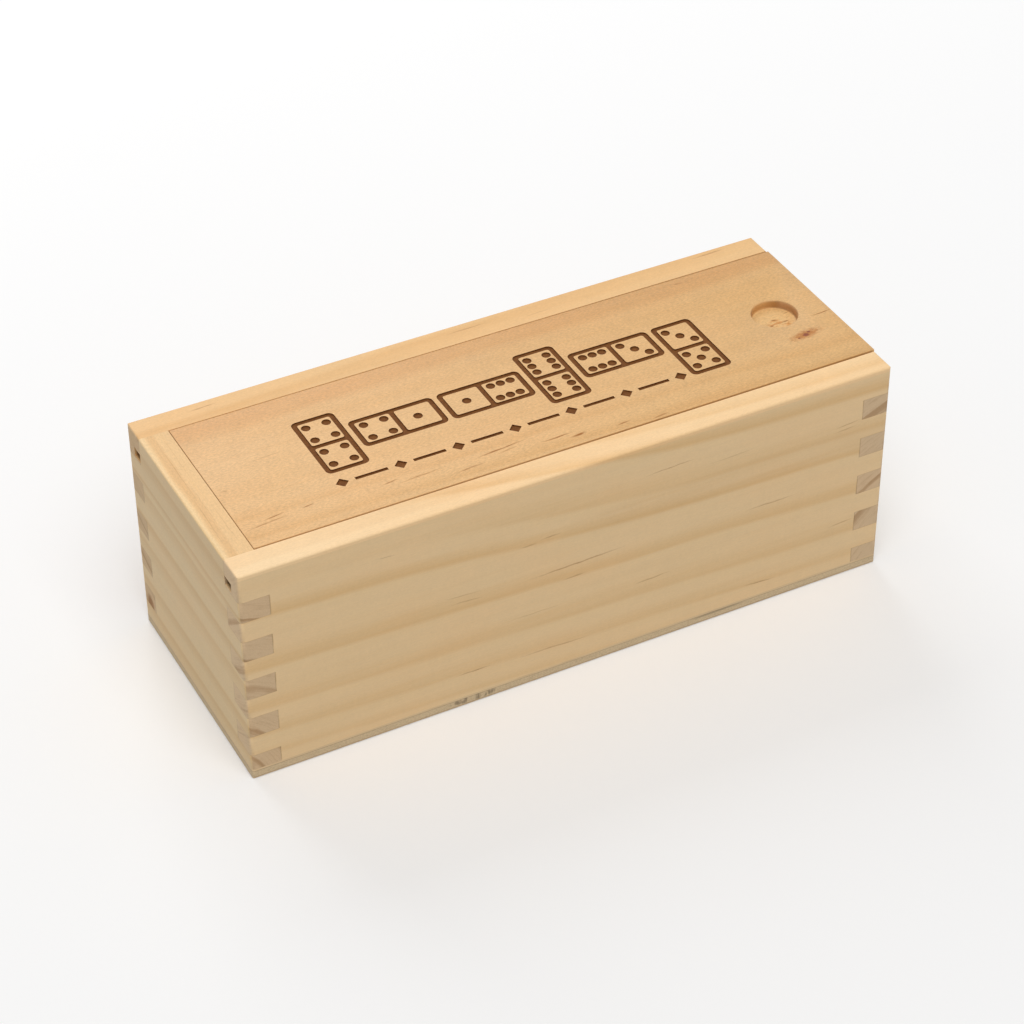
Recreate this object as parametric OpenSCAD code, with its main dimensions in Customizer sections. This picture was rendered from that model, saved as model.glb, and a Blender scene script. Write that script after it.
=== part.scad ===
// Sliding-lid storage box for a set of domino tiles.
// Four solid pine walls are box-jointed at the corners and glued, a thin
// plywood panel is glued on underneath, and a rebated pine lid slides in a
// groove that runs round three sides. The lid leaves over the lower end wall.
// Origin: middle of the underside. X runs towards the open end, Z is up,
// and the front wall is on the -Y side. Millimetres.

/* [Box] */
// Outside length, from the closed end to the open end
box_l = 156; // [110:1:260]
// Outside width, over both side walls
box_w = 59.5; // [40:0.5:120]
// Outside height, from the underside to the top of the rails
box_h = 55; // [35:0.5:100]

/* [Boards] */
// Thickness of the side walls
side_t = 6.8; // [5:0.1:12]
// Thickness of the end walls
end_t = 6.8; // [5:0.1:12]
// Thickness of the plywood bottom panel
panel_t = 2.6; // [2:0.1:6]
// Radius sanded onto the upright outside corners
corner_r = 0.8; // [0.4:0.1:3]
// Radius sanded onto the other outside edges
edge_r = 0.5; // [0.2:0.1:1.5]

/* [Corner joints] */
// Height of one finger, and of the socket under it
finger_h = 5.2; // [3:0.1:10]
// Wood left in the side walls between the lid groove and the top socket
groove_web = 0.4; // [0.3:0.1:3]
// A finger or a gap shorter than this at the foot of a corner isn't cut
shortest_finger = 1.5; // [1:0.1:2.5]

/* [Lid groove] */
// Height of the groove
groove_h = 2.3; // [1.5:0.1:4]
// Depth of the groove into the walls
groove_d = 3.3; // [1.5:0.1:4]
// Wood above the groove, which holds the lid down
lip_h = 4.1; // [2:0.1:8]

/* [Lid] */
// Clearance above and below the lid's tongue
tongue_clear = 0.15; // [0.05:0.05:0.4]
// Clearance between the tongue's edge and the bottom of the groove
tongue_gap = 0.3; // [0.1:0.05:0.8]
// Gap between the raised part of the lid and the walls around it
lid_gap = 0.25; // [0.1:0.05:0.8]
// How far the top of the lid lies under the top of the rails
lid_drop = 0; // [0:0.1:1.5]
// How far the closed lid stands out past the open end
lid_proud = 0.3; // [0:0.1:2]

/* [Thumb recess] */
// Diameter of the recess
thumb_d = 10.8; // [8:0.1:20]
// Depth of the recess
thumb_depth = 2; // [0.8:0.1:2.5]
// Distance from the open end to the middle of the recess
thumb_from_end = 11.9; // [11:0.1:40]

/* [Hidden] */
$fn = 64;

// How far a cut runs past the face that it opens
overcut = 1;

// Space between the walls
inner_w = box_w - 2 * side_t;

// Heights of the groove, which the lid and the open end wall share
groove_top = box_h - lip_h;
groove_z = groove_top - groove_h;

// Corner joints: the end walls' fingers, counted down from the groove
finger_top = groove_z - groove_web;
finger_pitch = 2 * finger_h;
finger_count = ceil((finger_top - panel_t - shortest_finger) / finger_pitch);

// Lid: the tongue runs in the groove, the raised part fills the opening
tongue_z = groove_z + tongue_clear;
tongue_t = groove_h - 2 * tongue_clear;
tongue_x = -box_l / 2 + end_t - groove_d + tongue_gap;
tongue_w = inner_w + 2 * (groove_d - tongue_gap);
lid_x = -box_l / 2 + end_t + lid_gap;
lid_end = box_l / 2 + lid_proud;
lid_w = inner_w - 2 * lid_gap;
lid_top = box_h - lid_drop;

pine = [0.88, 0.75, 0.55];
pine_pale = [0.93, 0.82, 0.62];
pine_lid = [0.84, 0.68, 0.47];
plywood = [0.74, 0.62, 0.46];

function finger_high(i) = finger_top - i * finger_pitch;
function finger_foot(i) = finger_high(i) - finger_h;
// The lowest finger ends on the panel, and takes in a sliver that would be left under it
function finger_low(i) = finger_foot(i) - panel_t < shortest_finger ? panel_t : finger_foot(i);

// Rectangle with rounded corners, centred on the origin
module rounded_rect(across, along, r) {
    square([across, along - 2 * r], center = true);
    square([across - 2 * r, along], center = true);
    for (x = [-1, 1], y = [-1, 1])
        translate([x * (across / 2 - r), y * (along / 2 - r)])
            circle(r);
}

// The whole box as a solid block with its outside edges sanded round
module sanded_block() {
    intersection() {
        linear_extrude(box_h)
            rounded_rect(box_l, box_w, corner_r);
        translate([0, box_w / 2, box_h / 2])
            rotate([90, 0, 0])
                linear_extrude(box_w)
                    rounded_rect(box_l, box_h, edge_r);
        translate([-box_l / 2, 0, box_h / 2])
            rotate([90, 0, 90])
                linear_extrude(box_l)
                    rounded_rect(box_w, box_h, edge_r);
    }
}

// The fingers of the closed end wall, cut off square at the outside faces;
// past runs them on beyond those faces, for cutting the sockets
module fingers(past = 0) {
    for (i = [0 : finger_count - 1])
        translate([-box_l / 2 - past, -box_w / 2 - past, finger_low(i)])
            cube([end_t + past, box_w + 2 * past, finger_high(i) - finger_low(i)]);
}

// The fingers of both ends
module all_fingers(past = 0) {
    fingers(past);
    mirror([1, 0, 0])
        fingers(past);
}

// Front wall; the back wall is its mirror image
module side_wall() {
    difference() {
        intersection() {
            sanded_block();
            translate([-box_l / 2, -box_w / 2, panel_t])
                cube([box_l, side_t, box_h - panel_t]);
        }
        all_fingers(overcut);
        // The groove is milled right through, and opens in both ends of the board
        translate([-box_l / 2 - overcut, -inner_w / 2 - groove_d, groove_z])
            cube([box_l + 2 * overcut, groove_d + overcut, groove_h]);
    }
}

// End wall of a given top height, as it stands at the closed end
module end_wall(top) {
    intersection() {
        sanded_block();
        union() {
            translate([-box_l / 2, -inner_w / 2, panel_t])
                cube([end_t, inner_w, top - panel_t]);
            fingers();
        }
    }
}

module front_wall() {
    color(pine)
        side_wall();
}

module back_wall() {
    color(pine)
        mirror([0, 1, 0])
            side_wall();
}

module closed_end_wall() {
    color(pine_pale)
        difference() {
            end_wall(box_h);
            translate([-box_l / 2 + end_t - groove_d, -box_w / 2, groove_z])
                cube([groove_d + overcut, box_w, groove_h]);
        }
}

// The lid passes over this wall, so it stops at the floor of the groove
module open_end_wall() {
    color(pine_pale)
        mirror([1, 0, 0])
            end_wall(groove_z);
}

module bottom_panel() {
    color(plywood)
        intersection() {
            sanded_block();
            translate([-box_l / 2, -box_w / 2, 0])
                cube([box_l, box_w, panel_t]);
        }
}

module sliding_lid() {
    color(pine_lid)
        difference() {
            intersection() {
                // The lid's end is sanded as the box's is, but stands out past it
                translate([lid_proud, 0, 0])
                    sanded_block();
                union() {
                    translate([tongue_x, -tongue_w / 2, tongue_z])
                        cube([lid_end - tongue_x, tongue_w, tongue_t]);
                    translate([lid_x, -lid_w / 2, tongue_z])
                        cube([lid_end - lid_x, lid_w, lid_top - tongue_z]);
                }
            }
            translate([box_l / 2 - thumb_from_end, 0, lid_top - thumb_depth])
                cylinder(d = thumb_d, h = thumb_depth + overcut);
        }
}

front_wall();
back_wall();
closed_end_wall();
open_end_wall();
bottom_panel();
sliding_lid();
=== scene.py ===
import math

import bmesh
import bpy
from mathutils import Matrix, Vector, noise


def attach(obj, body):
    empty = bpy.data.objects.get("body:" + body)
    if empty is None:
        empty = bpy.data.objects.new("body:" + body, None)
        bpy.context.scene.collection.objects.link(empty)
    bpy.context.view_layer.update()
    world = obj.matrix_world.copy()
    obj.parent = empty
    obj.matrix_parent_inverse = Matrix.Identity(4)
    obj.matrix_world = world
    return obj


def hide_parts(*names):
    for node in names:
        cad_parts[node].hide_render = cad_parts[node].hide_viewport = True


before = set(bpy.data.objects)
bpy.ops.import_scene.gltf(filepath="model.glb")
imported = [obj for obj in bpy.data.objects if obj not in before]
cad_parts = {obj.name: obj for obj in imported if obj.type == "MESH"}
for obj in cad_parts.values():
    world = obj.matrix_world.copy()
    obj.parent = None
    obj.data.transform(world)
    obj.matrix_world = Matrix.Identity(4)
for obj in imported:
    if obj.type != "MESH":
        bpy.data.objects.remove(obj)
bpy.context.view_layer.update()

MM = 0.001

# Sizes of the box, in millimetres, as in the part's source
LEFT, RIGHT = -78.0, 78.0
FRONT, BACK = -29.75, 29.75
TOP = 55.0
WALL_T = 6.8
FINGER_TOP = 48.2
FINGER_H = 5.2
GROOVE_LOW, GROOVE_HIGH = 48.6, 50.9

# The lid: a tongue, and a raised part planed a little slack along its front edge. The raised
# part's front and back edges are given at the closed end and at the open end.
TONGUE_LOW, TONGUE_HIGH = 48.75, 50.75
TONGUE_LEFT = -74.2
TONGUE_HALF = 25.95
LID_LEFT = -71.05
LID_END = 78.3
LID_FRONT = (-22.5, -22.3)
LID_BACK = (22.82, 22.68)

# The thumb recess: its middle, the radius of its rim and of its wall, and its floor's height.
# The profile is radius and height, from the floor up the wall and out over the eased rim.
RECESS_X = 66.1
RECESS_R = 5.4
RECESS_WALL = 5.2
RECESS_FLOOR = 53.12
RECESS_PROFILE = ((4.9, 53.13), (5.08, 53.2), (5.17, 53.35), (5.2, 53.6), (5.2, 54.5), (5.23, 54.7),
                  (5.31, 54.87), (5.45, 54.98), (5.8, 55.15), (5.8, 56))

# The engraving's depth, half the height of the solid that cuts it, and how far the lid's and
# the boards' edges are broken
ENGRAVED = 0.3
CUTTER_HALF = 0.6
LID_EASE = 0.16
BOARD_EASE = 0.09

# Edges of the boards that turn more than the first are broken, and edges of the carved lid that
# turn more than the second are drawn sharp
BROKEN_TURN = math.radians(35)
SHARP_TURN = math.radians(28)

# Points closer than this, in metres, are one
SAME_PLACE = 0.001 * MM

# Heights of the two glue lines in the plywood's edge
PLY_LOW, PLY_HIGH = 0.52, 2.08

# The floor reaches so far that its edge is never in view
FLOOR_HALF = 40000

# The photograph's view: a long lens from the front left, looking down. Distances are in
# metres, the lens and the two shifts of the aim in millimetres.
VIEW_AZIMUTH = math.radians(-27.2)
VIEW_ELEVATION = math.radians(38.1)
VIEW_ROLL = math.radians(-0.46)
VIEW_DISTANCE = 0.651
VIEW_LENS = 102.9
AIM_LEFT = 0.55
AIM_DOWN = 3.8

# Light: a bright sky, a wide soft lamp from above the front left, and a
# panel behind the box whose reflection gives the top its sheen
SKY = 0.40
KEY_STRENGTH = 1.45
KEY_AZIMUTH = math.radians(-15)
KEY_ELEVATION = math.radians(60)
KEY_SPREAD = math.radians(50)
PANEL_PLACE = Vector((0.0, 1.15, 0.9))
PANEL_SIDE = 0.9
PANEL_POWER = 5.5
FLOOR_BOUNCE = 0.46


def rgb(red, green, blue):
    """The linear colour of a surface that looks like this, 0 to 255, in full light."""
    return tuple(((part / 255 + 0.055) / 1.055) ** 2.4 for part in (red, green, blue)) + (1.0,)


# Tints that multiply the colour of a board's pale early wood
LATE_TINT = (0.87, 0.77, 0.60, 1.0)
END_LATE_TINT = (0.70, 0.61, 0.52, 1.0)
PINK_TINT = (1.0, 0.975, 0.955, 1.0)
HEART_TINT = (0.93, 0.885, 0.83, 1.0)
LID_HEART_TINT = (0.91, 0.82, 0.71, 1.0)
EDGE_TINT = (0.93, 0.90, 0.86, 1.0)
# Painted shade for the surfaces inside the box
INSIDE_SHADE_TINT = (0.88, 0.86, 0.82, 1.0)
# Painted shade for the walls' groove
GROOVE_SHADE_TINT = (0.30, 0.25, 0.20, 1.0)
GLUE_TINT = (0.50, 0.42, 0.34, 1.0)

# Colours in full light of each board's early wood, and of its end grain
FRONT_PINE = rgb(244, 211, 162)
FRONT_RAIL = rgb(252, 214, 162)
# A paler colour for the rail's top near the closed end: a painted sheen
FRONT_RAIL_SHEEN = rgb(255, 221, 172)
FRONT_END = rgb(236, 206, 165)
BACK_PINE = rgb(239, 195, 137)
BACK_END = rgb(224, 192, 149)
CLOSED_END_PINE = rgb(240, 210, 160)
CLOSED_END_TOP = rgb(238, 196, 139)
CLOSED_END_EDGE = rgb(252, 222, 170)
CLOSED_END_END = rgb(222, 191, 151)
OPEN_END_PINE = rgb(240, 210, 160)
OPEN_END_END = rgb(223, 193, 154)
# The lid's pale and warm colours: partly the wood's own tone, partly painted light
LID_PALE = rgb(234, 189, 133)
LID_WARM = rgb(223, 178, 119)
LID_END_GRAIN = rgb(196, 150, 102)
RESIN = rgb(156, 104, 56)
LID_RESIN = rgb(158, 96, 26)
KNOT = rgb(184, 116, 40)
KNOT_CORE = rgb(132, 58, 0)
# The recess wall: brown partly from the cutter and partly from painted shade; the darker colour is
# painted shade
RECESS_BURNISH_AND_SHADE = rgb(192, 134, 70)
RECESS_SHADE = rgb(142, 90, 26)
# Painted light that pales the recess floor
RECESS_FLOOR_LIGHT = rgb(255, 216, 156)
RECESS_TORN = rgb(222, 156, 84)
GAP_SHADE = rgb(150, 104, 60)
BURNT_DARK = rgb(96, 53, 20)
BURNT_PALE = rgb(138, 88, 42)
BURNT_WALL = rgb(88, 48, 20)
VENEER_PALE = rgb(236, 206, 162)
VENEER_DARK = rgb(218, 188, 144)
CORE_PALE = rgb(228, 203, 163)
CORE_DARK = rgb(198, 172, 134)
PLY_GLUE = rgb(150, 122, 92)
# Painted shade in the open places of the plywood's core
PLY_GAP_SHADE = rgb(104, 88, 68)

# Dark resin streaks on the faces, in millimetres: where each starts, along the board and across
# the face, where it ends, its width and its strength
FRONT_STREAKS = (
    (31, 7, 35, 7.1, 0.3, 0.25), (94, 8.1, 107, 7.6, 0.35, 0.4), (110, 10.5, 122, 10.1, 0.35, 0.2),
    (142, 12.3, 149, 11.6, 0.35, 0.4), (142, 13.4, 148, 13, 0.35, 0.3), (64, 16.4, 68, 16.4, 0.4, 0.35),
    (69, 15.9, 74, 15.8, 0.35, 0.4), (46, 23.7, 55, 24.3, 0.35, 0.25), (47, 25.6, 55, 26, 0.35, 0.3),
    (66, 25.8, 90, 25.3, 0.45, 0.5), (120, 26.9, 133, 26.8, 0.4, 0.4), (74, 29, 80, 28.9, 0.4, 0.4),
    (92, 37, 101, 36.7, 0.4, 0.4), (60, 35.4, 75, 35.5, 0.3, 0.2), (142, 39.8, 149, 39.5, 0.4, 0.35),
    (48, 45.9, 57, 46, 0.35, 0.5), (63, 46.7, 82, 47.2, 0.4, 0.35), (120, 48.6, 129, 49, 0.35, 0.45),
)
BACK_STREAKS = (
    (20, 9, 31, 9.2, 0.4, 0.4), (60, 14, 71, 14.3, 0.4, 0.5), (104, 33, 118, 33.2, 0.4, 0.5),
    (38, 41, 47, 41.1, 0.4, 0.4),
)
BACK_RAIL_STREAKS = (
    (13, 2.6, 20, 2.3, 0.5, 0.45), (75, 2.6, 86, 2.4, 0.5, 0.35), (94, 4.4, 101, 4.3, 0.4, 0.25),
    (139, 1.7, 148, 1.4, 0.6, 0.45),
)
CLOSED_END_STREAKS = (
    (10, 2.0, 30, 2.5, 0.28, 0.2), (24, 2.9, 50, 3.0, 0.25, 0.22), (14, 3.4, 36, 3.7, 0.25, 0.14),
    (8, 5.2, 27, 5.0, 0.25, 0.16), (33, 4.6, 52, 4.8, 0.25, 0.14),
)
LID_STREAKS = (
    (8, 46.4, 18, 45.4, 0.5, 0.6), (12, 44.9, 17.5, 44.2, 0.5, 0.7), (21, 44.7, 24, 44.4, 0.5, 0.7),
    (39, 45.5, 43, 45.1, 0.5, 0.65), (42, 46.6, 53, 45.9, 0.5, 0.5), (60, 46.4, 73, 45.3, 0.55, 0.8),
    (65, 47.2, 70, 46.7, 0.5, 0.5), (54, 49.1, 62, 48.4, 0.5, 0.5), (75, 47.9, 83, 47.7, 0.55, 0.8),
    (81.5, 49.4, 85.5, 48.9, 0.8, 0.9), (92, 50.1, 96, 49.8, 0.55, 0.65),
    (100, 51.7, 104.5, 51.1, 0.6, 0.6), (150.5, 34.4, 157, 34, 0.4, 0.8), (8, 32.1, 10, 32, 0.5, 0.35),
    (17, 25.3, 26, 24.9, 0.4, 0.25), (129.5, 9, 132.5, 9.1, 0.6, 0.35),
)
RECESS_STREAKS = (
    (143.2, 29.5, 144.9, 29.8, 0.5, 0.75), (141.9, 31.4, 143.3, 31.5, 0.5, 0.8),
    (145, 31.3, 147.5, 31.0, 0.5, 0.7), (147.2, 28.5, 149, 28.1, 0.45, 0.4),
    (146.6, 30.1, 148.4, 29.8, 0.4, 0.3),
)

# The knot's dark cores: place along the lid and across it, and size
KNOT_CORES = ((145.95, 40.1, 0.95), (147.1, 39.3, 0.55), (143.9, 40.6, 0.4))

# Sockets of a Mix node that is set to mix colours
MIX_SHARE, MIX_FIRST, MIX_SECOND = 0, 6, 7
MIX_COLOUR = 2


def view_axes(azimuth, elevation):
    """Right, up and back directions of a camera that looks at the box from there."""
    back = Vector((math.sin(azimuth) * math.cos(elevation),
                   -math.cos(azimuth) * math.cos(elevation),
                   math.sin(elevation)))
    right = Vector((0, 0, 1)).cross(back).normalized()
    return right, back.cross(right), back


def link(thing):
    """Puts an object in the scene."""
    bpy.context.scene.collection.objects.link(thing)
    return thing


def add_camera():
    right, up, back = view_axes(VIEW_AZIMUTH, VIEW_ELEVATION)
    aim = (Vector((0, 0, TOP / 2)) - right * AIM_LEFT - up * AIM_DOWN) * MM
    turn = Matrix.Rotation(VIEW_ROLL, 3, back) @ Matrix((right, up, back)).transposed()
    camera = link(bpy.data.objects.new("camera", bpy.data.cameras.new("camera")))
    camera.data.lens = VIEW_LENS
    camera.data.sensor_width = 36
    camera.matrix_world = Matrix.Translation(aim + back * VIEW_DISTANCE) @ turn.to_4x4()
    bpy.context.scene.camera = camera


def add_lamps():
    key = link(bpy.data.objects.new("key_lamp", bpy.data.lights.new("key_lamp", "SUN")))
    key.data.energy = KEY_STRENGTH
    key.data.angle = KEY_SPREAD
    key.matrix_world = Matrix(view_axes(KEY_AZIMUTH, KEY_ELEVATION)).transposed().to_4x4()
    panel = link(bpy.data.objects.new("back_panel", bpy.data.lights.new("back_panel", "AREA")))
    panel.data.energy = PANEL_POWER
    panel.data.size = PANEL_SIDE
    turn = PANEL_PLACE.to_track_quat("Z", "Y").to_matrix().to_4x4()
    panel.matrix_world = Matrix.Translation(PANEL_PLACE) @ turn


def operator(operation, reflected=False):
    """A method of Wire that adds a Math node; reflected ones have the wire on the right."""
    def apply(self, other=None):
        pair = (other, self) if reflected else (self, other)
        return self.graph.math(operation, *pair)
    return apply


class Wire:
    """An output in a node graph; sums written with wires become Math nodes."""

    def __init__(self, graph, socket):
        self.graph = graph
        self.socket = socket

    __add__ = __radd__ = operator("ADD")
    __mul__ = __rmul__ = operator("MULTIPLY")
    __sub__, __rsub__ = operator("SUBTRACT"), operator("SUBTRACT", reflected=True)
    __truediv__, __rtruediv__ = operator("DIVIDE"), operator("DIVIDE", reflected=True)
    __pow__ = operator("POWER")
    __abs__ = operator("ABSOLUTE")


class Graph:
    """A node graph, with the kinds of node that the finishes here are made of."""

    def __init__(self, tree):
        self.tree = tree

    def node(self, kind, settings=None, inputs=(), output=0):
        """Adds a node: its settings first, then a value or a wire for each input."""
        made = self.tree.nodes.new(kind)
        settings = dict(settings or {})
        for place, (position, colour) in enumerate(settings.pop("stops", ())):
            ramp = made.color_ramp.elements
            stop = ramp[place] if place < 2 else ramp.new(position)
            stop.position = position
            stop.color = colour
        for key, value in settings.items():
            setattr(made, key, value)
        for socket, value in (inputs.items() if isinstance(inputs, dict) else enumerate(inputs)):
            self.feed(made.inputs[socket], value)
        return Wire(self, made.outputs[output])

    def feed(self, socket, value):
        """Connects a wire to an input, or sets the input to a value."""
        if isinstance(value, Wire):
            self.tree.links.new(value.socket, socket)
        elif value is not None:
            socket.default_value = value

    def math(self, operation, *values):
        return self.node("ShaderNodeMath", {"operation": operation}, values)

    def least(self, first, *others):
        for other in others:
            first = self.math("MINIMUM", first, other)
        return first

    def most(self, first, *others):
        for other in others:
            first = self.math("MAXIMUM", first, other)
        return first

    def vector(self, x, y, z):
        return self.node("ShaderNodeCombineXYZ", None, (x, y, z))

    def parts(self, vector):
        """The three numbers in a vector."""
        split = self.node("ShaderNodeSeparateXYZ", None, (vector,)).socket.node
        return [Wire(self, socket) for socket in split.outputs]

    def length(self, x, y, z=0.0):
        place = self.vector(x, y, z)
        return self.node("ShaderNodeVectorMath", {"operation": "LENGTH"}, (place,), "Value")

    def smooth(self, value, low, high):
        """0 up to low, 1 from high on, and a soft step between; falling where low is the larger."""
        ends = (high, low, 1.0, 0.0) if low > high else (low, high, 0.0, 1.0)
        return self.node("ShaderNodeMapRange", {"interpolation_type": "SMOOTHSTEP"}, (value, *ends))

    def noise(self, x, y, z, seed=0.0, detail=2.0, roughness=0.5):
        """Noise about 0, between -0.5 and 0.5, one unit of the place to a blotch."""
        inputs = {"Vector": self.vector(x, y, z), "W": seed, "Scale": 1.0,
                  "Detail": detail, "Roughness": roughness}
        return self.node("ShaderNodeTexNoise", {"noise_dimensions": "4D"}, inputs) - 0.5

    def ramp(self, value, stops):
        """A grey tone for each value, from stops of place and tone."""
        grey = [(place, (tone, tone, tone, 1)) for place, tone in stops]
        return self.node("ShaderNodeValToRGB", {"stops": grey}, (value,))

    def mix(self, share, first, second, blend="MIX"):
        """Mixes two colours."""
        settings = {"data_type": "RGBA", "blend_type": blend}
        inputs = {MIX_SHARE: share, MIX_FIRST: first, MIX_SECOND: second}
        return self.node("ShaderNodeMix", settings, inputs, MIX_COLOUR)

    def scale(self, colour, factor):
        """A colour, brighter or darker."""
        return self.node("ShaderNodeVectorMath", {"operation": "SCALE"}, {0: colour, "Scale": factor})


class Finish(Graph):
    """A material on the box. Its coordinates are millimetres in the box's frame."""

    def __init__(self, name):
        self.material = bpy.data.materials.new(name)
        self.material.use_nodes = True
        super().__init__(self.material.node_tree)
        self.shader = self.tree.nodes["Principled BSDF"]
        place = self.node("ShaderNodeTexCoord", None, (), "Object")
        self.x, self.y, self.z = [part / MM for part in self.parts(place)]
        normal = self.node("ShaderNodeTexCoord", None, (), "Normal")
        self.normal = [abs(part) for part in self.parts(normal)]

    def surface(self, colour, roughness, height):
        """Connects the surface: height is in millimetres."""
        self.feed(self.shader.inputs["Base Color"], colour)
        self.feed(self.shader.inputs["Roughness"], roughness)
        bump = self.node("ShaderNodeBump", None, {"Strength": 1.0, "Distance": MM, "Height": height})
        self.feed(self.shader.inputs["Normal"], bump)
        return self.material

    def under_face(self):
        """Millimetres under the outside faces of the box."""
        return self.least(self.x - LEFT, RIGHT - self.x,
                          self.y - FRONT, BACK - self.y,
                          self.z, TOP - self.z)

    def from_edge(self):
        """Millimetres to the nearest outside edge of the box, on any outside face."""
        x = self.least(self.x - LEFT, RIGHT - self.x)
        y = self.least(self.y - FRONT, BACK - self.y)
        z = self.least(self.z, TOP - self.z)
        return self.most(self.least(x, y), self.least(self.most(x, y), z))


class Board:
    """A sawn board: along the grain, across its face and through it, in millimetres."""

    def __init__(self, g, along, across, through, grain_axis, seed):
        self.g = g
        self.along, self.across, self.through = along, across, through
        self.seed = seed
        self.end_grain = g.smooth(g.normal[grain_axis], 0.5, 0.8)
        self.flat_top = g.smooth(g.normal[2], 0.5, 0.8)
        self.radius = 0.0
        self.late = 0.0
        self.marks = 0.0

    def noise(self, along, across, seed, detail=2.0, roughness=0.5):
        """Noise with blotches of that length and width."""
        return self.g.noise(self.along / along, self.across / across, self.through / across,
                            self.seed + seed, detail, roughness)

    def grow(self, pith, rings, level, wander=1.6):
        """Growth rings: how far into the late wood of its year each point lies, from 0 to 1.

        pith is the middle of the tree, across the face and through it. rings are the levels at which a
        year ends, each with the strength of its late wood.
        """
        g = self.g
        bend = self.noise(46, 24, 0, 1.0) * wander + self.noise(8, 2.2, 7) * 0.5
        radius = self.radius = g.length(level + bend - pith[0], self.through - pith[1])
        years = sorted((math.hypot(place - pith[0], pith[1]), strength) for place, strength in rings)
        first = years[0][0] - 7
        span = years[-1][0] + 2 - first
        stops = [(0.0, 0.0)]
        inner = first
        for year, strength in years:
            width = year - inner
            stops.append(((year - min(4.5, 0.55 * width) - first) / span, 0.08 * strength))
            stops.append(((year - min(0.6, 0.1 * width) - first) / span, strength))
            stops.append(((year + 0.35 - first) / span, 0.0))
            inner = year
        self.late = g.ramp((radius - first) / span, stops)

    def streak(self, across, start, start_across, end, end_across, width):
        """1 on a thin streak from one place on a face to another."""
        half = (end - start) / 2
        rise = (end_across - start_across) / 2
        lengthwise = (self.along - (start + half)) / half
        sideways = (across - lengthwise * rise - (start_across + rise)) / (width / 2)
        return self.g.smooth(self.g.length(lengthwise, sideways), 1.15, 0.3)

    def mark(self, across, streaks, face=1.0):
        """Adds dark resin streaks where face is 1."""
        sway = across + self.noise(4, 2, 11) * 0.6
        broken = face * (1 + self.noise(1.6, 0.6, 12) * 1.6)
        for *ends, strength in streaks:
            self.marks = self.g.most(self.streak(sway, *ends) * broken * strength, self.marks)

    def planed(self, colour, end_colour, resin=RESIN, texture=1.0, relief=0.0):
        """The sanded surface of the board, from the colours of its early wood and its end grain.

        texture is the strength of the finest speckle, and relief an extra height in millimetres.
        """
        g, late, end_grain = self.g, self.late, self.end_grain
        fibre = self.noise(9, 0.32, 1, 3.0, 0.6)
        streak = self.noise(60, 1.5, 2, 3.0, 0.65)
        cloud = self.noise(30, 12, 3)
        speckle = self.noise(0.8, 0.36, 4, 3.0, 0.75)
        patch = g.noise(g.x / 3, g.y / 3, g.z / 3, self.seed + 5, 2.0)
        darkness = g.math("MAXIMUM", 0.0, late + streak * 0.6 + fibre * (0.32 + 0.2 * self.flat_top))
        long_grain = g.mix(darkness, colour, LATE_TINT, "MULTIPLY")
        ring_edge = late ** 4 * 0.9 + late * late * (0.8 + fibre) + g.smooth(late, 0.4, 0.55) * 0.3
        growth = g.noise(self.radius / 0.5, self.through / 6, self.across / 6, self.seed + 9, 2.0, 0.6)
        ring_line = ring_edge + growth * 1.5 + self.noise(3, 1.2, 8) * 0.5
        cut_grain = g.mix(g.most(ring_line, 0.0), end_colour, END_LATE_TINT, "MULTIPLY")
        colour = g.mix(end_grain, long_grain, cut_grain)
        colour = g.mix(g.smooth(cloud, -0.1, 0.2), colour, PINK_TINT, "MULTIPLY")
        pores = g.smooth(fibre, 0.1, 0.28) * end_grain
        grit = speckle * texture * (0.19 + 0.18 * self.flat_top)
        mottle = grit + patch * (0.06 + 0.04 * texture * self.flat_top) + cloud * 0.09
        colour = g.scale(colour, 1 + fibre * 0.11 + mottle - pores * 0.12)
        colour = g.mix(self.marks, colour, resin)
        deep = g.under_face()
        # Surfaces under the box's outside faces get a painted shade
        colour = g.mix(g.smooth(deep, 0.3, 1.5), colour, INSIDE_SHADE_TINT, "MULTIPLY")
        worn = g.smooth(g.from_edge() + speckle * 0.8, 0.9, 0.1)
        colour = g.mix(worn * 0.3, colour, EDGE_TINT, "MULTIPLY")
        # The groove gets a painted shade
        colour = g.mix(self.groove(deep), colour, GROOVE_SHADE_TINT, "MULTIPLY")
        broken = g.smooth(patch + speckle * 0.5, -0.25, 0.15)
        colour = g.mix(glue_lines(g) * broken, colour, GLUE_TINT, "MULTIPLY")
        roughness = 0.52 + fibre * 0.22 + end_grain * 0.18 + self.marks * 0.1 - worn * 0.06
        raised = fibre * (0.012 + 0.03 * end_grain) + late * 0.01 + grit * 0.035
        sunk = self.marks * 0.03 + pores * 0.04
        return g.surface(colour, roughness, raised - sunk + relief)

    def groove(self, deep):
        """1 in the milled groove of the walls, which gets a painted shade."""
        g = self.g
        half = (GROOVE_HIGH - GROOVE_LOW) / 2
        height = g.smooth(abs(g.z - (GROOVE_LOW + half)), half + 0.06, half + 0.02)
        in_side = g.smooth(abs(g.y), BACK - WALL_T - 0.1, BACK - WALL_T)
        in_closed_end = g.smooth(g.x, 0.0, LEFT + WALL_T)
        return height * g.most(in_side, in_closed_end) * g.smooth(deep, 0.15, 0.8)


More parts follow.
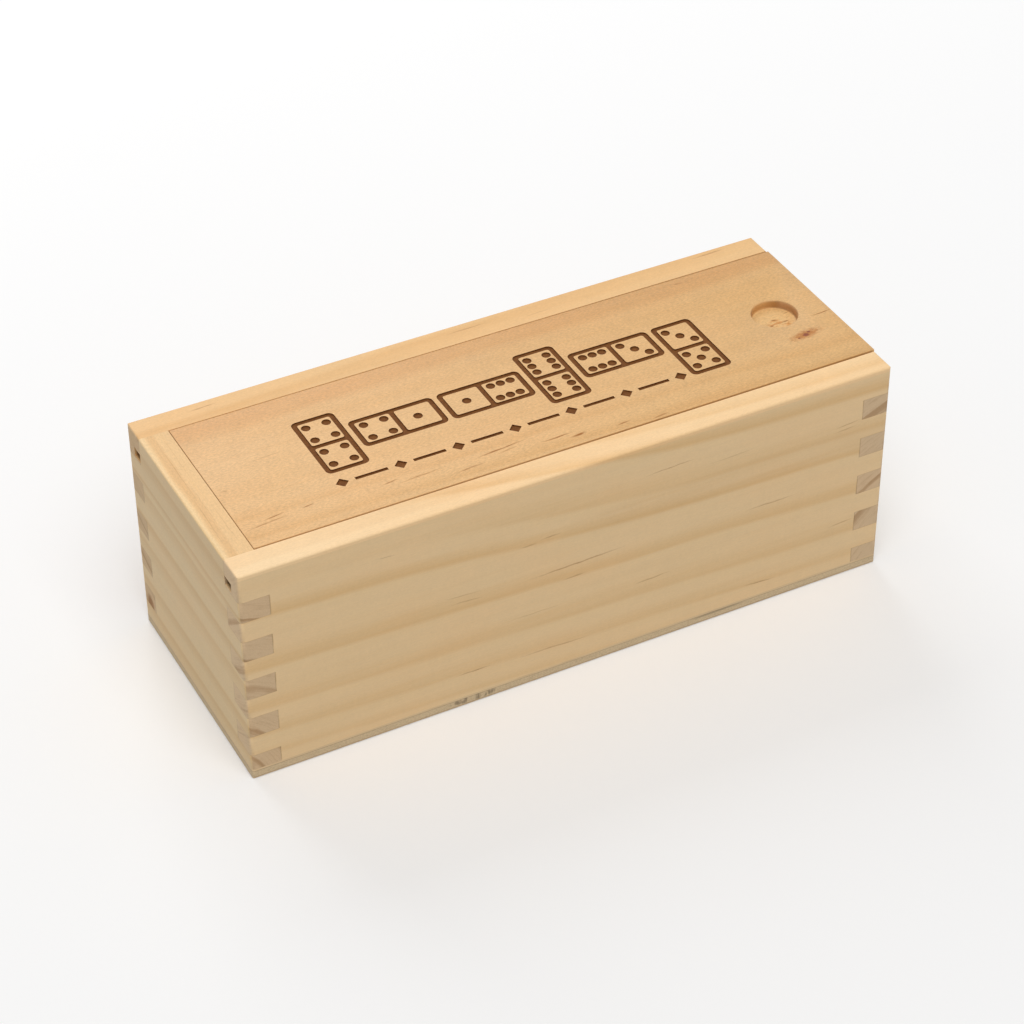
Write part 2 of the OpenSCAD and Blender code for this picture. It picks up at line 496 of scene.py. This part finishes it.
def glue_lines(g):
    """1 on the thin lines round the fingers, where the walls meet at the corners."""
    # Down from the top of the finger above, and up or down to the nearest level joint
    step = g.math("FLOORED_MODULO", FINGER_TOP - g.z, 2 * FINGER_H)
    level = g.least(step, abs(step - FINGER_H), 2 * FINGER_H - step)
    under_top = g.smooth(g.z, FINGER_TOP + 0.1, FINGER_TOP)
    in_finger = g.smooth(step, FINGER_H + 0.05, FINGER_H - 0.05) * under_top
    to_end = g.least(g.x - LEFT, RIGHT - g.x)
    to_side = g.least(g.y - FRONT, BACK - g.y)
    long_face = g.smooth(g.normal[1], 0.5, 0.8)
    inward = to_side + (to_end - to_side) * long_face
    # The upright line bounds the fingers on a long face, and the wood between them on an end face
    bound = in_finger * long_face + (1 - in_finger) * (1 - long_face)
    flat = g.smooth(level, 0.13, 0.03) * g.smooth(inward, WALL_T + 0.05, WALL_T - 0.05)
    upright = g.smooth(abs(inward - WALL_T), 0.2, 0.05) * bound
    on_wall = (1 - g.smooth(g.normal[2], 0.3, 0.6)) * g.smooth(g.under_face(), 0.4, 0.2)
    flat = flat * g.smooth(g.z, FINGER_TOP + 0.3, FINGER_TOP + 0.1)
    return g.most(flat * 0.35, upright * (0.45 + 0.25 * long_face)) * on_wall


def front_wall_pine():
    g = Finish("front_wall_pine")
    along, down = g.x - LEFT, TOP - g.z
    board = Board(g, along, down, g.y - FRONT, 0, seed=10)
    # The rings spread towards the right in the upper half, and the top ones are faint at the left
    climb = 0.33 * g.most(30 - down, 0.0) * g.smooth(along, 30, 120)
    level = down - 0.042 * along - climb
    rings = ((-20, 0.5), (-8.8, 0.75), (4.6, 0.5), (12.2, 0.75), (25.9, 0.7), (36.9, 0.55),
             (44, 0.5), (49.5, 0.4))
    board.grow((-40, 45), rings, level)
    fade = (1 - 0.8 * g.smooth(along, 75, 35)) * g.smooth(level, 9, 5)
    board.late = board.late * g.most(fade, g.smooth(level, 5, 9), g.smooth(level, -1, -4))
    board.mark(down, FRONT_STREAKS)
    rail = g.smooth(down, 1.2, 0.8)
    inner_band = g.smooth(board.through + board.noise(40, 3, 21), 2.2, 3.4) * g.smooth(along, 120, 30)
    inner_band = inner_band * rail
    pink_zone = g.smooth(abs(down - 16.5 - (along - 115) * 0.02), 4.5, 2.0) * g.smooth(along, 70, 95)
    # The rail's top is paler towards the closed end: a painted sheen
    base = g.mix(rail, FRONT_PINE, g.mix(g.smooth(along, 55, 5), FRONT_RAIL, FRONT_RAIL_SHEEN))
    base = g.mix(inner_band * 0.6, base, HEART_TINT, "MULTIPLY")
    base = g.mix(pink_zone * (0.5 + board.noise(20, 2, 22)), base, HEART_TINT, "MULTIPLY")
    return board.planed(base, FRONT_END)


def back_wall_pine():
    g = Finish("back_wall_pine")
    along, down = g.x - LEFT, TOP - g.z
    board = Board(g, along, down, BACK - g.y, 0, seed=30)
    rings = ((-20, 0.5), (-12, 0.6), (-3, 0.5), (8, 0.6), (17.5, 0.5), (24, 0.6), (35, 0.65),
             (43, 0.5), (51, 0.5))
    board.grow((-55, 38), rings, down - 0.03 * along)
    rail = g.smooth(down, 1.2, 0.8)
    board.mark(down, BACK_STREAKS, 1 - rail)
    board.mark(board.through, BACK_RAIL_STREAKS, rail)
    board.marks = g.most(board.marks, finger_stain(g))
    return board.planed(BACK_PINE, BACK_END)


def finger_stain(g):
    """The dark streak in the lowest finger end of the back wall."""
    spot = g.length((g.x - LEFT) / 3, (BACK - g.y - 3.6) / 2.2, (g.z - 7.2) / 2.6)
    return g.smooth(spot + g.noise(g.x, g.y, g.z, 3.0) * 0.8, 1.2, 0.4) * 0.85


def closed_end_pine():
    g = Finish("closed_end_pine")
    down = TOP - g.z
    board = Board(g, g.y - FRONT, down, g.x - LEFT, 1, seed=50)
    rings = ((3.2, 0.7), (10.6, 0.85), (13.4, 0.6), (21.3, 0.85), (28.4, 0.65), (40, 0.75),
             (48, 0.75), (54, 0.5))
    board.grow((60, -12), rings, down - 0.004 * board.along, 1.0)
    base = g.mix(board.flat_top, CLOSED_END_PINE, CLOSED_END_TOP)
    sway = board.through + board.noise(30, 4, 21) * 2.4
    middle = board.flat_top * g.smooth(sway, 1.2, 2.0) * g.smooth(sway, 3.9, 2.9)
    base = g.mix(middle, base, HEART_TINT, "MULTIPLY")
    edge = board.flat_top * g.smooth(sway, 1.5, 0.7)
    base = g.mix(edge * 0.5, base, CLOSED_END_EDGE)
    base = g.mix(g.smooth(down, 13, 6) * (1 - board.flat_top) * 0.5, base, HEART_TINT, "MULTIPLY")
    board.mark(board.through, CLOSED_END_STREAKS, board.flat_top)
    return board.planed(base, CLOSED_END_END, texture=1.6)


def open_end_pine():
    g = Finish("open_end_pine")
    down = TOP - g.z
    board = Board(g, g.y - FRONT, down, RIGHT - g.x, 1, seed=70)
    rings = ((1, 0.5), (8.5, 0.9), (18.3, 0.4), (28.4, 0.8), (33.6, 0.8), (43.8, 0.4), (53, 0.6))
    board.grow((75, -25), rings, down, 0.6)
    return board.planed(OPEN_END_PINE, OPEN_END_END)


def lid_pine():
    g = Finish("lid_pine")
    along, across = g.x - LEFT, BACK - g.y
    board = Board(g, along, across, TOP - g.z, 0, seed=90)
    rings = ((-8, 0.3), (8, 0.35), (22, 0.2), (36, 0.2), (43.5, 0.4), (49.5, 0.45), (54, 0.4))
    board.grow((14, 46), rings, across - 0.02 * along, 3.0)
    board.mark(across, LID_STREAKS)
    # Paler at the closed end and warmer at the open end: partly the wood's own tone, partly painted light
    # for the fall of light and sheen along the top
    base = g.mix(g.smooth(along, 0, 165), LID_PALE, LID_WARM)
    heart = g.smooth(across + board.noise(50, 3, 21) * 4, 14.5, 10.5)
    base = g.mix(heart, base, LID_HEART_TINT, "MULTIPLY")
    board.mark(across, RECESS_STREAKS, g.smooth(g.z, TOP - 0.6, TOP - 1.2))
    base, relief = recess_tones(g, base)
    base = knot(g, base, along, across)
    # The gaps along the lid are a little darker than the wood, but the recess's wall is not a gap
    gap = g.smooth(g.z, TOP, TOP - 0.25) * g.smooth(RIGHT - g.x, 0.1, 0.5)
    gap = gap * g.smooth(g.normal[1], 0.5, 0.8)
    past_recess = g.smooth(g.length(g.x - RECESS_X, g.y), RECESS_R + 0.5, RECESS_R + 0.8)
    base = g.mix(gap * 0.5 * past_recess, base, GAP_SHADE)
    return board.planed(base, LID_END_GRAIN, LID_RESIN, 2.6, relief)


def knot(g, base, along, across):
    """A small knot beside the thumb recess, with a ragged edge and dark cores."""
    ragged = g.noise(along / 1.2, across / 0.5, 0.0, 12.0, 3.0, 0.65) * 1.9
    slant = across - 39.9 + (along - 145.8) * 0.12
    halo = g.smooth(g.length((along - 146.0) / 4.3, slant / 1.4) + ragged, 1.3, 0.3)
    colour = g.mix(halo * 0.95, base, KNOT)
    for place, level, size in KNOT_CORES:
        core = g.length((along - place) / size, (across - level) / (size * 0.7)) + ragged * 0.5
        colour = g.mix(g.smooth(core, 1.1, 0.5), colour, KNOT_CORE)
    return colour


def recess_tones(g, base):
    """Colour and relief of the thumb recess: a wall browned by the cutter and by painted shade, and a
    floor paled by painted light and torn in places.
    """
    radius = g.length(g.x - RECESS_X, g.y)
    inside = g.smooth(g.z, TOP + 0.02, TOP - 0.25) * g.smooth(radius, RECESS_R + 0.35, RECESS_R + 0.1)
    wall = g.smooth(radius, RECESS_WALL - 0.3, RECESS_WALL - 0.03) * inside
    floor = g.smooth(radius, RECESS_WALL - 0.03, RECESS_WALL - 0.4) * inside
    torn = g.smooth(g.length((g.x - RECESS_X - 0.6) / 3.6, (g.y + 1.9) / 2.4), 1.25, 0.5) * inside
    fleck = g.noise(g.x / 2.4, g.y / 0.8, 0.0, 41.0, 3.0, 0.6)
    # The recess floor is paled by painted light, to look as lit as the lid round it
    colour = g.mix(floor * 0.8, base, RECESS_FLOOR_LIGHT)
    colour = g.mix(torn * g.smooth(fleck, -0.06, 0.10) * 0.9, colour, RECESS_TORN)
    # The wall is browned partly by the cutter and partly by painted shade, and painted shade makes it
    # darker on the right, where light does not reach
    shaded_side = g.smooth(g.x - RECESS_X, -1, 4.5)
    burnish_and_shade = g.mix(shaded_side, RECESS_BURNISH_AND_SHADE, RECESS_SHADE)
    return g.mix(wall * (0.3 + 0.5 * shaded_side), colour, burnish_and_shade), torn * fleck * 0.12


def burnt_pine():
    g = Finish("burnt_pine")
    speckle = g.noise(g.x / 0.45, g.y / 0.45, g.z / 0.45, 3.0, 3.0, 0.7)
    fibre = g.noise(g.x / 3, g.y / 0.25, g.z / 0.25, 5.0, 2.0, 0.6)
    wall = 1 - g.smooth(g.normal[2], 0.3, 0.7)
    tone = g.smooth(speckle + fibre * 0.6, -0.35, 0.35)
    colour = g.mix(tone, BURNT_DARK, BURNT_PALE)
    colour = g.mix(wall * 0.6, colour, BURNT_WALL)
    g.shader.inputs["Specular IOR Level"].default_value = 0.2
    return g.surface(colour, 0.75 + speckle * 0.3, speckle * 0.05 + fibre * 0.04)


def plywood():
    g = Finish("plywood")
    fibre = g.noise(g.x / 8, g.y / 0.35, g.z / 0.25, 1.0, 3.0, 0.6)
    cross = g.noise(g.x / 0.5, g.y / 6, g.z / 0.3, 2.0, 2.0, 0.6)
    patch = g.noise(g.x / 5, g.y / 5, g.z / 1, 3.0, 2.0)
    side = g.smooth(g.normal[2], 0.8, 0.5)
    core = g.smooth(g.z, PLY_LOW - 0.07, PLY_LOW + 0.08)
    core = core * g.smooth(g.z, PLY_HIGH + 0.07, PLY_HIGH - 0.08) * side
    veneer = g.mix(g.smooth(fibre, -0.2, 0.3), VENEER_PALE, VENEER_DARK)
    filling = g.mix(g.smooth(cross + patch * 0.5, -0.25, 0.35), CORE_PALE, CORE_DARK)
    colour = g.mix(core, veneer, filling)
    glue = g.smooth(g.least(abs(g.z - PLY_LOW), abs(g.z - PLY_HIGH)), 0.12, 0.03) * side
    colour = g.mix(glue * 0.5, colour, PLY_GLUE)
    # Two open places in the core, one torn like a comb and one a thin slit, darkened by painted shade
    comb = g.smooth(g.noise(g.x / 0.9, g.y, g.z / 2.5, 6.0, 1.0), -0.05, 0.12)
    torn = g.smooth(g.length((g.x - LEFT - 52.5) / 6.5, g.z - 1.4), 1.1, 0.6) * comb
    slit = g.smooth(g.length((g.x - LEFT - 114) / 9, (g.z - 1.8) / 0.35) + cross, 1.0, 0.4)
    gap = g.most(torn, slit * 0.6) * core
    colour = g.mix(gap * 0.65, colour, PLY_GAP_SHADE)
    height = fibre * 0.02 + cross * 0.03 * side - gap * 0.1
    return g.surface(g.scale(colour, 1 + patch * 0.12), 0.6 + fibre * 0.2, height)


def mesh_from(name, verts, faces):
    """A mesh from corners in millimetres."""
    mesh = bpy.data.meshes.new(name)
    mesh.from_pydata([Vector(v) * MM for v in verts], [], faces)
    return mesh


def lid_body():
    """The lid's board: a tongue round three sides, and the raised part that fills the opening."""
    def level(left, front, back, z):
        """Four corners at one height, anticlockwise from the closed end's front."""
        return [(left, front[0], z), (LID_END, front[1], z), (LID_END, back[1], z), (left, back[0], z)]
    tongue = (-TONGUE_HALF, -TONGUE_HALF), (TONGUE_HALF, TONGUE_HALF)
    verts = level(TONGUE_LEFT, *tongue, TONGUE_LOW) + level(TONGUE_LEFT, *tongue, TONGUE_HIGH)
    verts += level(LID_LEFT, LID_FRONT, LID_BACK, TONGUE_HIGH) + level(LID_LEFT, LID_FRONT, LID_BACK, TOP)
    faces = [(0, 3, 2, 1), (0, 1, 5, 4), (2, 3, 7, 6), (3, 0, 4, 7),
             (4, 5, 9, 8), (7, 4, 8, 11), (6, 7, 11, 10),
             (8, 9, 13, 12), (11, 8, 12, 15), (10, 11, 15, 14), (12, 13, 14, 15),
             (1, 2, 6, 10, 14, 13, 9, 5)]
    mesh = mesh_from("lid_body", verts, faces)
    bm = bmesh.new()
    bm.from_mesh(mesh)
    # The inner corners, where the raised part stands on the tongue, stay as cut
    hollow = {(8, 9), (8, 11), (10, 11), (5, 9), (6, 10)}
    eased = [edge for edge in bm.edges if tuple(sorted(v.index for v in edge.verts)) not in hollow]
    bmesh.ops.bevel(bm, geom=eased, offset=LID_EASE * MM, segments=2, affect="EDGES", profile=0.5)
    bm.to_mesh(mesh)
    bm.free()
    return mesh


def recess_cutter():
    """What the thumb recess takes out: a shallow dish with torn grain on its floor and an eased rim."""
    around = 72
    radii = [0.55 * ring for ring in range(1, 9)]
    verts = [(RECESS_X, 0, torn_floor(0, 0))]
    for radius in radii:
        for step in range(around):
            turn = math.tau * step / around
            x, y = radius * math.cos(turn), radius * math.sin(turn)
            verts.append((RECESS_X + x, y, torn_floor(x, y)))
    for radius, height in RECESS_PROFILE:
        for step in range(around):
            turn = math.tau * step / around
            verts.append((RECESS_X + radius * math.cos(turn), radius * math.sin(turn), height))
    faces = [(0, 1 + (step + 1) % around, 1 + step) for step in range(around)]
    rings = len(radii) + len(RECESS_PROFILE)
    for ring in range(rings - 1):
        for step in range(around):
            here, beside = 1 + ring * around + step, 1 + ring * around + (step + 1) % around
            faces.append((here, beside, beside + around, here + around))
    faces.append(tuple(1 + (rings - 1) * around + step for step in range(around)))
    return mesh_from("recess_cutter", verts, faces)


def torn_floor(x, y):
    """Height of the recess's floor, rough where the cutter tore the grain."""
    rough = noise.fractal(Vector((x * 0.5, y * 1.3, 4.2)), 0.8, 2.1, 4)
    torn = max(0.0, 1 - math.hypot((x - 0.3) / 3.8, (y + 2.6) / 2.4))
    return RECESS_FLOOR + 0.04 * rough + 0.5 * torn * rough


def rounded(x, y, half_x, half_y, radius, steps=5):
    """Corners of a rectangle with round corners."""
    points = []
    for quarter, (sx, sy) in enumerate(((1, 1), (-1, 1), (-1, -1), (1, -1))):
        for step in range(steps + 1):
            turn = math.pi / 2 * (quarter + step / steps)
            points.append((x + sx * (half_x - radius) + radius * math.cos(turn),
                           y + sy * (half_y - radius) + radius * math.sin(turn)))
    return points


def ring_of(x, y, radius, steps=20):
    """Points round a circle."""
    return [(x + radius * math.cos(math.tau * k / steps), y + radius * math.sin(math.tau * k / steps))
            for k in range(steps)]


# Pips of a tile's half, as places in a grid of 3 by 3: along the tile and across it
CORNERS = ((-1, -1), (-1, 1), (1, -1), (1, 1))
PIPS = {1: ((0, 0),), 3: ((-1, 1), (0, 0), (1, -1)), 4: CORNERS,
        5: CORNERS + ((0, 0),), 6: CORNERS + ((0, -1), (0, 1))}

# The engraved tiles, in millimetres
TILE_L = 20.0
TILE_W = 10.0
TILE_LINE = 1.2
TILE_GAP = 1.1
PIP_R = 1.05
PIP_STEP = 2.4
PLAY_LEFT = 30.5
PLAY_BACK = 27.0
RULE_BACK = 40.8

# The tiles in play: the pips of their halves, and whether they stand across the line
PLAYED = ((4, 4, True), (4, 1, False), (1, 6, False), (6, 6, True), (6, 3, False))
LAST_PLAYED = (3, 5)


def tile_outlines(x, y, first, second, upright):
    """Outlines of one domino tile, laid along the play line or upright across it."""
    def place(points):
        return [(x - v, y - u) if upright else (x + u, y + v) for u, v in points]
    cell = (TILE_L / 2 - TILE_LINE * 1.5) / 2
    outlines = [place(rounded(0, 0, TILE_L / 2, TILE_W / 2, 1.3))]
    for side, pips in ((-1, first), (1, second)):
        middle = side * (TILE_LINE / 2 + cell)
        outlines.append(place(rounded(middle, 0, cell, TILE_W / 2 - TILE_LINE, 0.5)))
        for along, across in PIPS[pips]:
            outlines.append(place(ring_of(middle + along * PIP_STEP, across * PIP_STEP, PIP_R)))
    return outlines


def play_line():
    """The engraving: a line of played tiles that turns at its end, over a plain rule with lozenges."""
    outlines = []
    x = LEFT + PLAY_LEFT
    y = BACK - PLAY_BACK
    for first, second, upright in PLAYED:
        half = (TILE_W if upright else TILE_L) / 2
        outlines += tile_outlines(x + half, y, first, second, upright)
        x += 2 * half + TILE_GAP
    outlines += tile_outlines(x + TILE_W / 2, y - (TILE_L - TILE_W) / 2, *LAST_PLAYED, True)
    return outlines + rule(LEFT + PLAY_LEFT, x - TILE_GAP, BACK - RULE_BACK)


def rule(left, right, y, spaces=6, line=0.45, lozenge=1.5):
    """A thin line broken by lozenges."""
    step = (right - left - 2 * lozenge) / spaces
    outlines = []
    for place in range(spaces + 1):
        x = left + lozenge + place * step
        outlines.append([(x - lozenge, y), (x, y - lozenge), (x + lozenge, y), (x, y + lozenge)])
        if place < spaces:
            start, end = x + 2 * lozenge, x + step - 2 * lozenge
            outlines.append([(start, y - line), (end, y - line), (end, y + line), (start, y + line)])
    return outlines


def engraving_cutter(outlines):
    """A solid for what the engraving burns away."""
    curve = bpy.data.curves.new("engraving", "CURVE")
    curve.dimensions = "2D"
    curve.fill_mode = "BOTH"
    curve.extrude = CUTTER_HALF * MM
    for outline in outlines:
        spline = curve.splines.new("POLY")
        spline.points.add(len(outline) - 1)
        for point, (x, y) in zip(spline.points, outline):
            point.co = (x * MM, y * MM, 0, 1)
        spline.use_cyclic_u = True
    shape = link(bpy.data.objects.new("engraving", curve))
    bpy.context.view_layer.update()
    mesh = bpy.data.meshes.new_from_object(shape.evaluated_get(bpy.context.evaluated_depsgraph_get()))
    bpy.data.objects.remove(shape)
    bm = bmesh.new()
    bm.from_mesh(mesh)
    bmesh.ops.remove_doubles(bm, verts=bm.verts, dist=SAME_PLACE)
    bmesh.ops.recalc_face_normals(bm, faces=bm.faces)
    bmesh.ops.translate(bm, verts=bm.verts, vec=(0, 0, (TOP - ENGRAVED + CUTTER_HALF) * MM))
    bm.to_mesh(mesh)
    bm.free()
    return mesh


def carve(piece, cutter_mesh, burnt=False):
    """Cuts a solid out of a piece; a burnt cut leaves faces in the second material."""
    cutter = link(bpy.data.objects.new("cutter", cutter_mesh))
    cutter_mesh.materials.clear()
    for material in piece.data.materials:
        cutter_mesh.materials.append(material)
    for face in cutter_mesh.polygons:
        face.material_index = int(burnt)
    cut = piece.modifiers.new("cut", "BOOLEAN")
    cut.operation = "DIFFERENCE"
    cut.solver = "EXACT"
    cut.object = cutter
    bpy.context.view_layer.update()
    mesh = bpy.data.meshes.new_from_object(piece.evaluated_get(bpy.context.evaluated_depsgraph_get()))
    piece.modifiers.clear()
    piece.data = mesh
    bpy.data.objects.remove(cutter)


def add_lid():
    pine, burnt = lid_pine(), burnt_pine()
    mesh = lid_body()
    mesh.materials.append(pine)
    mesh.materials.append(burnt)
    lid = link(bpy.data.objects.new("engraved_lid", mesh))
    carve(lid, recess_cutter())
    carve(lid, engraving_cutter(play_line()), burnt=True)
    for face in lid.data.polygons:
        face.use_smooth = True
    lid.data.set_sharp_from_angle(angle=SHARP_TURN)
    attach(lid, "lid")
    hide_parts("sliding_lid")


def add_floor():
    corners = [(x * FLOOR_HALF, y * FLOOR_HALF, 0) for x, y in ((-1, -1), (1, -1), (1, 1), (-1, 1))]
    mesh = mesh_from("floor", corners, [(0, 1, 2, 3)])
    floor = link(bpy.data.objects.new("floor", mesh))
    material = bpy.data.materials.new("white_floor")
    material.use_nodes = True
    g = Graph(material.node_tree)
    shader = g.tree.nodes["Principled BSDF"]
    grey = (FLOOR_BOUNCE, FLOOR_BOUNCE, FLOOR_BOUNCE, 1)
    g.feed(shader.inputs["Base Color"], g.mix(rays_that_see(g), grey, (1, 1, 1, 1)))
    shader.inputs["Roughness"].default_value = 0.9
    shader.inputs["Specular IOR Level"].default_value = 0.0
    mesh.materials.append(material)


def rays_that_see(g):
    """1 on the rays that show the surroundings: from the camera, mirrored or through glass."""
    path = g.node("ShaderNodeLightPath").socket.node.outputs
    kinds = ("Is Camera Ray", "Is Glossy Ray", "Is Transmission Ray")
    return g.most(*[Wire(g, path[kind]) for kind in kinds])


def add_sky():
    world = bpy.data.worlds.new("studio")
    bpy.context.scene.world = world
    world.use_nodes = True
    g = Graph(world.node_tree)
    sky = world.node_tree.nodes["Background"]
    sky.inputs["Color"].default_value = (1, 1, 1, 1)
    g.feed(sky.inputs["Strength"], SKY + rays_that_see(g) * (1 - SKY))


def dress(node, material):
    """Gives a CAD piece its material and breaks its edges, as sanding does."""
    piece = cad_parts[node]
    piece.data.materials.clear()
    piece.data.materials.append(material)
    weld = piece.modifiers.new("weld", "WELD")
    weld.merge_threshold = SAME_PLACE
    eased = piece.modifiers.new("eased", "BEVEL")
    eased.width = BOARD_EASE * MM
    eased.segments = 2
    eased.limit_method = "ANGLE"
    eased.angle_limit = BROKEN_TURN


add_camera()
add_lamps()
add_sky()
add_floor()
bpy.context.scene.view_settings.view_transform = "Standard"

dress("front_wall", front_wall_pine())
dress("back_wall", back_wall_pine())
dress("closed_end_wall", closed_end_pine())
dress("open_end_wall", open_end_pine())
dress("bottom_panel", plywood())
add_lid()
